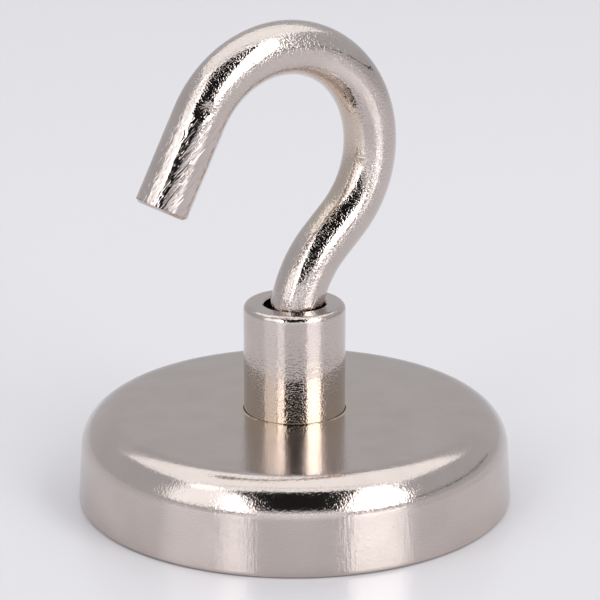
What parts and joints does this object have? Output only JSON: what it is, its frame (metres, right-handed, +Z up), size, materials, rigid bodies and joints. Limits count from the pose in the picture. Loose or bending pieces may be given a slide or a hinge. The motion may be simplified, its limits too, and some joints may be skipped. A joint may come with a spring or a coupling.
{
  "type": "magnet fishing magnet",
  "caption": "Single-sided pot magnet for magnet fishing: a low plated steel pot with a potted disc magnet, a threaded bush and an open wire hook screwed into it.",
  "frame": {"origin": "centre of the pot's open rim, the face that grips, so the magnet stands on Z = 0", "axes": "+Z up along the pot, bush and thread; the hook lies in the XZ plane, with its bow swelling towards +X and its tip on the -X side"},
  "size_m": [0.06, 0.06, 0.0669],
  "materials": {
    "pot_nickel": "nickel plated, satin",
    "bush_nickel": "nickel plated, turned",
    "hook_nickel": "nickel plated over bent wire, fine satin",
    "magnet_nickel": "nickel plated, smooth",
    "resin": "cast, semi-gloss",
    "adhesive": "cured, semi-gloss"
  },
  "bodies": {
    "pot": {"pot_cup": "pot_nickel", "magnet_disc": "magnet_nickel", "resin_potting": "resin", "threaded_bush": "bush_nickel"},
    "lock_ring": {"thread_adhesive": "adhesive"},
    "hook": {"hook": "hook_nickel"}
  },
  "joints": [
    {"name": "hook_rise", "type": "slide", "parent": "pot", "child": "lock_ring", "axis": [0, 0, 1], "range_m": [0, 0.0125]},
    {"name": "hook_turn", "type": "hinge", "parent": "lock_ring", "child": "hook", "pos_m": [0, 0, 0.0237], "axis": [0, 0, 1], "range_deg": [0, 3600]}
  ],
  "couplings": [
    {"joint": "hook_rise", "follows": "hook_turn", "m_per_rad": 0.00019894}
  ]
}
